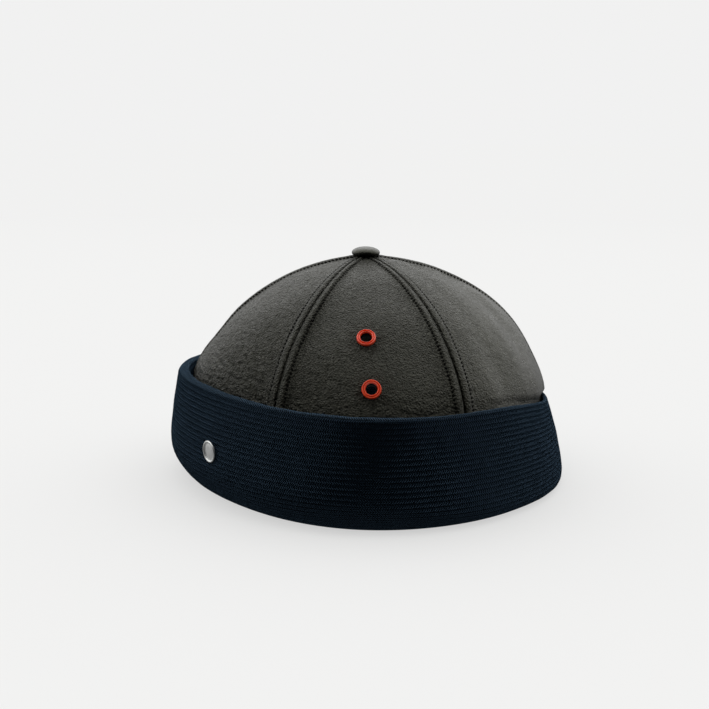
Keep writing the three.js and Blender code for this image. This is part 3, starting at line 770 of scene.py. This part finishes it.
def strands(spot, direction, normal, length, radius, seed):
    """Plump strands: rings along each direction, whose radius is a circle's root and whose middle
    stands up in an arch, each strand turned and shifted a little."""
    rng = np.random.default_rng(seed)
    count = len(spot)
    direction = direction + np.cross(normal, direction) * rng.normal(0, 0.05, size=(count, 1))
    t = np.linspace(-1, 1, THREAD_RINGS)[None, :, None, None]
    around_turn = np.linspace(0, 2 * np.pi, THREAD_SIDES, endpoint=False)[None, None, :, None]
    thick = radius * np.clip(1 - t**2, 0.06, 1)**0.4
    across = np.cross(direction, normal)[:, None, None, :]
    run = direction[:, None, None, :] * (t * length / 2 * rng.uniform(0.92, 1.05, size=(count, 1, 1, 1)))
    arch = normal[:, None, None, :] * ((1 - t**2) * 0.16 * MM)
    points = spot[:, None, None, :] + run + arch
    points = points + across * thick * np.cos(around_turn)
    points = points + normal[:, None, None, :] * thick * np.sin(around_turn)
    tube = grid_faces(THREAD_RINGS, THREAD_SIDES, wraps_columns=True)[:, ::-1]
    ring = np.arange(THREAD_SIDES)
    step = THREAD_RINGS * THREAD_SIDES
    last = step - THREAD_SIDES
    caps = [ring[[0, 1, 2, 3]], ring[[0, 3, 4, 5]], last + ring[[3, 2, 1, 0]], last + ring[[5, 4, 3, 0]]]
    one = np.concatenate([tube, np.array(caps)])
    return points.reshape(count, step, 3), (one[None] + np.arange(count)[:, None, None] * step).reshape(-1, 4)


def thread_material():
    """Waxed black thread: a fine uneven twist, nearly matt."""
    material, tree, shader, place = new_material("black_thread", 0.8)
    raise_bumps(tree, shader, noise(tree, place, 3200.0, 2.0), 0.05 * MM)
    tint = blend_colors(tree, noise(tree, place, 240.0, 2.0), (0.0015, 0.0015, 0.0015), (0.006, 0.006, 0.006))
    feed(tree, shader.inputs["Base Color"], tint)
    shader.inputs["Specular IOR Level"].default_value = 0.06
    return material


rows_of_thread = [
    thread_rows(-np.pi / 2 + (number + 0.5) * 2 * np.pi / PANELS, side)
    for number in range(PANELS)
    for side in (-1, 1)
]
spots, directions, normals = (np.concatenate(values) for values in zip(*rows_of_thread))
spots = spots + normals * (WELT_HEIGHT * 0.05)
thread_points, thread_quads = strands(spots, directions, normals, STITCH_LENGTH * THREAD_PITCH,
                                      THREAD_RADIUS, seed=31)
thread = mesh_piece("topstitching", thread_points, thread_quads, thread_material())
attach(thread, "root")


# Eyelets
# Each air hole has a brass eyelet, enamelled orange red: a domed flange outside, a barrel
# pressed through the leather and a washer that it is rolled over inside.
EYELET_DIAMETER = 9 * MM
EYELET_FLANGE = 1.1 * MM
EYELET_WASHER_DIAMETER = 8.4 * MM
EYELET_WASHER = 0.6 * MM
FUNNEL = 0.42 * MM
ROUND_STEPS = 72


def bend(across, up, radius_across, radius_up, start, end, count):
    """Points of a profile along an arc, as pairs of radius and height, from start to end in degrees."""
    turn = np.radians(np.linspace(start, end, count))
    return list(zip(across + radius_across * np.cos(turn), up + radius_up * np.sin(turn)))


def turned_piece(name, profile, seat, material, closed=False):
    """A profile of radius and height turned about Z and laid on a seat. It comes back to its start, or
    it starts and ends on the axis, where a row of points meets in one."""
    radius, height = np.array(profile).T
    turn = np.linspace(0, 2 * np.pi, ROUND_STEPS, endpoint=False)[None, :]
    points = np.stack(np.broadcast_arrays(
        radius[:, None] * np.cos(turn), radius[:, None] * np.sin(turn), height[:, None]), axis=-1)
    faces = grid_faces(len(radius), ROUND_STEPS, wraps_rows=closed, wraps_columns=True)
    piece = mesh_piece(name, points, faces, material)
    piece.data.transform(seat)
    weld = piece.modifiers.new("weld", "WELD")
    weld.merge_threshold = 0.001 * MM
    finish_modifiers(piece)
    return piece


def enamel_material():
    """Baked enamel: glossy orange red, clouded with a paler tone, with tiny waves."""
    material, tree, shader, place = new_material("orange_enamel", 0.16)
    raise_bumps(tree, shader, noise(tree, place, 700.0, 2.0), 0.03 * MM)
    tone = noise(tree, place, 320.0, 3.0)
    orange = blend_colors(tree, tone, (0.90, 0.034, 0.003), (1.00, 0.095, 0.010))
    feed(tree, shader.inputs["Base Color"], orange)
    shader.inputs["Coat Weight"].default_value = 0.6
    shader.inputs["Coat Roughness"].default_value = 0.08
    return material


def eyelet_profile():
    """Washer, barrel and domed flange, counter-clockwise, with rounded rims."""
    hole = EYELET_HOLE / 2
    barrel = hole + EYELET_WALL
    flange = EYELET_DIAMETER / 2
    washer = EYELET_WASHER_DIAMETER / 2
    under = -LEATHER_THICKNESS - SOFT_CLEARANCE
    edge = EYELET_WASHER / 2
    mouth = hole + FUNNEL
    crest = (flange - mouth) / 4
    return [
        (hole, under - EYELET_WASHER * 0.7),
        (hole + 0.3 * MM, under - EYELET_WASHER),
        *bend(washer - edge, under - edge, edge, edge, -90, 90, 9),
        (barrel, under),
        (barrel, CLEARANCE * 0.4),
        (flange - 0.25 * MM, CLEARANCE * 0.4),
        *bend(flange - crest, CLEARANCE, crest, EYELET_FLANGE * 0.9, -8, 150, 16),
        *bend(mouth + crest, CLEARANCE, crest, EYELET_FLANGE, 30, 176, 16),
        (hole + FUNNEL / 3, 0.0),
        (hole, -0.6 * MM),
    ]


def painted_shade_material():
    """The bare barrel painted nearly black as painted shade inside the hole, rough, with a few lighter
    scuffs.
    """
    material, tree, shader, place = new_material("painted_shade_barrel", 0.6)
    scuffs = noise(tree, place, 900.0, 3.0)
    black = blend_colors(tree, scuffs, (0.002, 0.002, 0.002), (0.008, 0.007, 0.006))
    feed(tree, shader.inputs["Base Color"], black)
    shader.inputs["Specular IOR Level"].default_value = 0.1
    return material


def paint_barrel_shade(piece, seat):
    """Gives the painted shade to the faces within the flange's mouth, by distance to the seat's axis."""
    piece.data.materials.append(painted_shade_finish)
    centres = np.empty(len(piece.data.polygons) * 3)
    piece.data.polygons.foreach_get("center", centres)
    back_on_seat = np.array(seat.inverted())
    on_seat = centres.reshape(-1, 3) @ back_on_seat[:3, :3].T + back_on_seat[:3, 3]
    within = np.hypot(on_seat[:, 0], on_seat[:, 1]) < EYELET_HOLE / 2 + FUNNEL
    piece.data.polygons.foreach_set("material_index", within.astype(np.int32))


orange_enamel = enamel_material()
painted_shade_finish = painted_shade_material()
for name, seat in eyelet_seats.items():
    eyelet = turned_piece(f"enamelled_{name}", eyelet_profile(), seat, orange_enamel, closed=True)
    # Painted shade: the eyelet's faces down in the hole are painted nearly black.
    paint_barrel_shade(eyelet, seat)
    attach(eyelet, "root")
    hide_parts(name)


# Button and its post
# A metal button covered with the crown's leather sits on the apex, over the seams' ends. Its
# steel tack goes through the panels' tips and is held by a disc inside.
BUTTON_DIAMETER = 14.4 * MM
BUTTON_HEIGHT = 4.6 * MM
BUTTON_EDGE = 1.6 * MM
POST_DIAMETER = 2.4 * MM
POST_SOCKET_DEPTH = 2 * MM
POST_DISC_DIAMETER = 11 * MM
POST_DISC_THICKNESS = 0.8 * MM
apex = Matrix.Translation(Vector(AXIS) + Vector((APEX_OFFSET, 0, 0)))
button_base = CROWN_HEIGHT + CLEARANCE
button_radius = BUTTON_DIAMETER / 2
socket = POST_DIAMETER / 2 + CLEARANCE
button_profile = [
    (0, button_base + POST_SOCKET_DEPTH),
    (socket, button_base + POST_SOCKET_DEPTH),
    (socket, button_base),
    (button_radius - BUTTON_EDGE, button_base),
    *bend(button_radius - BUTTON_EDGE, button_base + BUTTON_EDGE, BUTTON_EDGE, BUTTON_EDGE, -80, -8, 9),
    *bend(0, button_base + BUTTON_EDGE, button_radius, BUTTON_HEIGHT - BUTTON_EDGE, 2, 90, 26),
]
button_leather = leather_material("button_leather", (0.0105, 0.0110, 0.0100), (0.0050, 0.0054, 0.0052),
                                  roughness=0.20, grain_depth=0.07 * MM)
button = turned_piece("leather_button", button_profile, apex, button_leather)
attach(button, "root")
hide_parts("top_button")


def silver_material(name, roughness, line_scale):
    """Brushed nickel silver: fine scratches one way, soft clouds of handling in the gloss."""
    material, tree, shader, place = new_material(name, roughness)
    scratches = noise(tree, place, 900.0, 3.0, stretch=(1, 1, line_scale))
    raise_bumps(tree, shader, scratches, 0.05 * MM)
    clouds = noise(tree, place, 380.0, 3.0)
    silver = blend_colors(tree, clouds, (0.54, 0.55, 0.54), (0.84, 0.85, 0.84))
    feed(tree, shader.inputs["Base Color"], silver)
    feed(tree, shader.inputs["Roughness"], ramp(tree, clouds, 0.3, 0.7, roughness - 0.08, roughness + 0.1))
    shader.inputs["Metallic"].default_value = 1.0
    return material


brushed_silver = silver_material("brushed_silver", 0.42, 7.0)
stem = POST_DIAMETER / 2
disc = POST_DISC_DIAMETER / 2
disc_bottom = float(post_low[2])
post_profile = [
    (0, disc_bottom),
    (disc - 0.3 * MM, disc_bottom),
    (disc, disc_bottom + 0.3 * MM),
    (disc, disc_bottom + POST_DISC_THICKNESS),
    (stem, disc_bottom + POST_DISC_THICKNESS),
    (stem, CROWN_HEIGHT + POST_SOCKET_DEPTH),
    (0, CROWN_HEIGHT + POST_SOCKET_DEPTH),
]
tack = turned_piece("steel_tack", post_profile, apex, brushed_silver)
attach(tack, "root")
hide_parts("button_post")


# Badge
# A small round badge of brushed nickel silver with a low rim, its field left plain. A stem
# goes through the outer ply of the knit, with a cap behind it.
BADGE_DIAMETER = 10.5 * MM
BADGE_THICKNESS = 1 * MM
BADGE_RIM = 0.9 * MM
BADGE_CAP_DIAMETER = 7 * MM
BADGE_CAP_THICKNESS = 0.8 * MM
BADGE_SWING = math.radians(-5)
BADGE_DROOP = math.radians(10)


def wall_point(angle, t):
    """A point of the cuff's outer wall."""
    return around(wall_radius(np.array(angle), t), angle, wall_height(np.array(angle), t))


badge_radius = BADGE_DIAMETER / 2
badge_cap = BADGE_CAP_DIAMETER / 2
badge_face = CLEARANCE + BADGE_THICKNESS
badge_back = -float(ply_thickness(np.array(BADGE_ANGLE), badge_share)) - SOFT_CLEARANCE
badge_profile = [
    (0, badge_back - BADGE_CAP_THICKNESS),
    (badge_cap - 0.3 * MM, badge_back - BADGE_CAP_THICKNESS),
    (badge_cap, badge_back - BADGE_CAP_THICKNESS + 0.3 * MM),
    (badge_cap, badge_back),
    (stem, badge_back),
    (stem, CLEARANCE),
    (badge_radius - 0.2 * MM, CLEARANCE),
    (badge_radius, CLEARANCE + 0.2 * MM),
    *bend(badge_radius - BADGE_RIM / 2, badge_face - BADGE_RIM / 2, BADGE_RIM / 2, BADGE_RIM / 2, 0, 180, 16),
    *bend(badge_radius - 1.5 * BADGE_RIM, badge_face - BADGE_RIM / 2, BADGE_RIM / 2, 0.12 * MM, 0, -90, 6),
    *bend(0, badge_face - 0.6 * MM, badge_radius - 2 * BADGE_RIM, 0.35 * MM, 12, 90, 14),
]
badge_seat = seat_on(wall_point, BADGE_ANGLE, badge_share)
tangent = Vector((-math.sin(BADGE_ANGLE), math.cos(BADGE_ANGLE), 0))
tip = Matrix.Rotation(BADGE_SWING, 4, "Z") @ Matrix.Rotation(BADGE_DROOP, 4, tangent)
place = Matrix.Translation(badge_seat.translation)
badge_seat = place @ tip @ place.inverted() @ badge_seat
badge = turned_piece("round_badge", badge_profile, badge_seat, brushed_silver)
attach(badge, "root")
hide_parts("badge")


# Floor, light and camera
# A pale floor runs out into a white room of the same brightness, so no horizon shows. The
# room is white all round and above, and dim low down on the camera's side.
ROOM_WHITE = 0.88
FLOOR_WHITE = 0.93
FLOOR_GLOW = 0.62
ROOM_DIM = 0.025
ROOM_BOUNCE = 0.55
ROOM_BRIGHT = 1.72
LIGHT_BEHIND = 0.62
LIGHT_SIDES = 0.64
LIGHT_POWER = 4.0
ROOM_RADIUS = 12
FLOOR_CLEAR = (0.35, 1.6)
HAT_SHADE = (0.070, 0.084)
FLOOR_COLOR = (0.72, 0.72, 0.712)


def emission(tree, color, strength):
    """Light given off by a surface, evenly."""
    return node(tree, "ShaderNodeEmission", {"Color": (*color, 1), "Strength": strength}).outputs[0]


def stage_material(name):
    """A material whose shader is put together by hand: its tree and its output's surface socket."""
    material = bpy.data.materials.new(name)
    material.use_nodes = True
    tree = material.node_tree
    tree.nodes.remove(tree.nodes["Principled BSDF"])
    return material, tree, tree.nodes["Material Output"].inputs["Surface"]


def floor_material():
    """Matt white paint near the hat, which fades to the room's even white further out. The paint has no
    glow of its own under the hat, where no light gets in."""
    material, tree, surface = stage_material("pale_floor")
    place = node(tree, "ShaderNodeTexCoord").outputs["Object"]
    distance = node(tree, "ShaderNodeVectorMath", {0: place}, operation="LENGTH").outputs["Value"]
    far = ramp(tree, distance, *FLOOR_CLEAR)
    glowing = maths(tree, "ADD", FLOOR_GLOW, maths(tree, "MULTIPLY", far, 1 - FLOOR_GLOW))
    glowing = maths(tree, "MULTIPLY", glowing, ramp(tree, distance, *HAT_SHADE))
    white = maths(tree, "ADD", FLOOR_WHITE, maths(tree, "MULTIPLY", far, ROOM_WHITE - FLOOR_WHITE))
    paint = node(tree, "ShaderNodeBsdfDiffuse", {"Color": (*FLOOR_COLOR, 1)}).outputs[0]
    glow = emission(tree, (1, 1, 0.995), white)
    feed(tree, surface, node(tree, "ShaderNodeMixShader", {0: glowing, 1: paint, 2: glow}).outputs[0])
    return material


def room_material():
    """The room's even white."""
    material, tree, surface = stage_material("room_white")
    feed(tree, surface, emission(tree, (1, 1, 0.998), ROOM_WHITE))
    return material


def stage_piece(name, points, faces, material):
    """A piece of the room, which isn't part of the object."""
    piece = mesh_piece(name, points, faces, material)
    return piece


stage_turn = np.linspace(0, 2 * np.pi, 64, endpoint=False)
floor_rings = np.array([0.0, 0.3, 1.0, 3.0, ROOM_RADIUS])[:, None]
floor_grid = np.stack(np.broadcast_arrays(
    floor_rings * np.cos(stage_turn), floor_rings * np.sin(stage_turn), 0.0), axis=-1)
floor = stage_piece("floor", floor_grid, grid_faces(5, 64, wraps_columns=True), floor_material())
floor.visible_glossy = False
floor.visible_diffuse = False

dome_up = np.linspace(-0.05, np.pi / 2, 16)[:, None]
dome_grid = ROOM_RADIUS * 0.98 * np.stack(np.broadcast_arrays(
    np.cos(dome_up) * np.cos(stage_turn), np.cos(dome_up) * np.sin(stage_turn), np.sin(dome_up)), axis=-1)
room = stage_piece("room", dome_grid, grid_faces(16, 64, wraps_columns=True), room_material())
room.visible_diffuse = False
room.visible_glossy = False
room.visible_transmission = False
room.visible_volume_scatter = False
room.visible_shadow = False

CAMERA_DISTANCE = 545 * MM
CAMERA_ELEVATION = math.radians(12.3)
CAMERA_ROLL = math.radians(0.6)
CAMERA_TARGET = Vector(AXIS) + Vector((-4.4 * MM, 0, 60.5 * MM))
PHOTO_PIXELS = 709
FOCAL_PIXELS = 1042
SENSOR_WIDTH = 36

back = Vector((0, -math.cos(CAMERA_ELEVATION), math.sin(CAMERA_ELEVATION)))
right = Vector((1, 0, 0))
upward = right.cross(-back)
rolled_right = right * math.cos(CAMERA_ROLL) + upward * math.sin(CAMERA_ROLL)
rolled_up = upward * math.cos(CAMERA_ROLL) - right * math.sin(CAMERA_ROLL)
camera_data = bpy.data.cameras.new("camera")
camera_data.sensor_width = SENSOR_WIDTH
camera_data.lens = FOCAL_PIXELS / PHOTO_PIXELS * SENSOR_WIDTH
camera_data.clip_start = 0.01
camera = bpy.data.objects.new("camera", camera_data)
camera_turn = Matrix((rolled_right, rolled_up, back)).transposed().to_4x4()
camera.matrix_world = Matrix.Translation(CAMERA_TARGET + back * CAMERA_DISTANCE) @ camera_turn
bpy.context.scene.collection.objects.link(camera)
bpy.context.scene.camera = camera

# The room's light by direction: the fourth power of z plus shares of y and of x squared, with a little
# from below at the sides.
world = bpy.data.worlds.new("white_room")
world.use_nodes = True
bpy.context.scene.world = world
sky = world.node_tree
all_round = node(sky, "ShaderNodeTexCoord").outputs["Generated"]
direction = node(sky, "ShaderNodeSeparateXYZ", {"Vector": all_round})
sideways = maths(sky, "POWER", direction.outputs["X"], 2.0)
from_behind = maths(sky, "MULTIPLY", direction.outputs["Y"], LIGHT_BEHIND)
facing_light = maths(sky, "ADD", direction.outputs["Z"], from_behind)
facing_light = maths(sky, "ADD", facing_light, maths(sky, "MULTIPLY", sideways, LIGHT_SIDES))
bright = maths(sky, "POWER", ramp(sky, facing_light, -0.25, 1.0), LIGHT_POWER)
bounce = ramp(sky, direction.outputs["Z"], -0.05, -0.6, 0.0, ROOM_BOUNCE)
bounce = maths(sky, "MULTIPLY", bounce, maths(sky, "ADD", sideways, 0.16))
level = maths(sky, "ADD", ROOM_DIM, maths(sky, "MULTIPLY", bright, ROOM_BRIGHT))
level = maths(sky, "ADD", level, bounce)
feed(sky, sky.nodes["Background"].inputs["Strength"], level)
sky.nodes["Background"].inputs["Color"].default_value = (1, 1, 1, 1)

bpy.context.scene.view_settings.view_transform = "Standard"
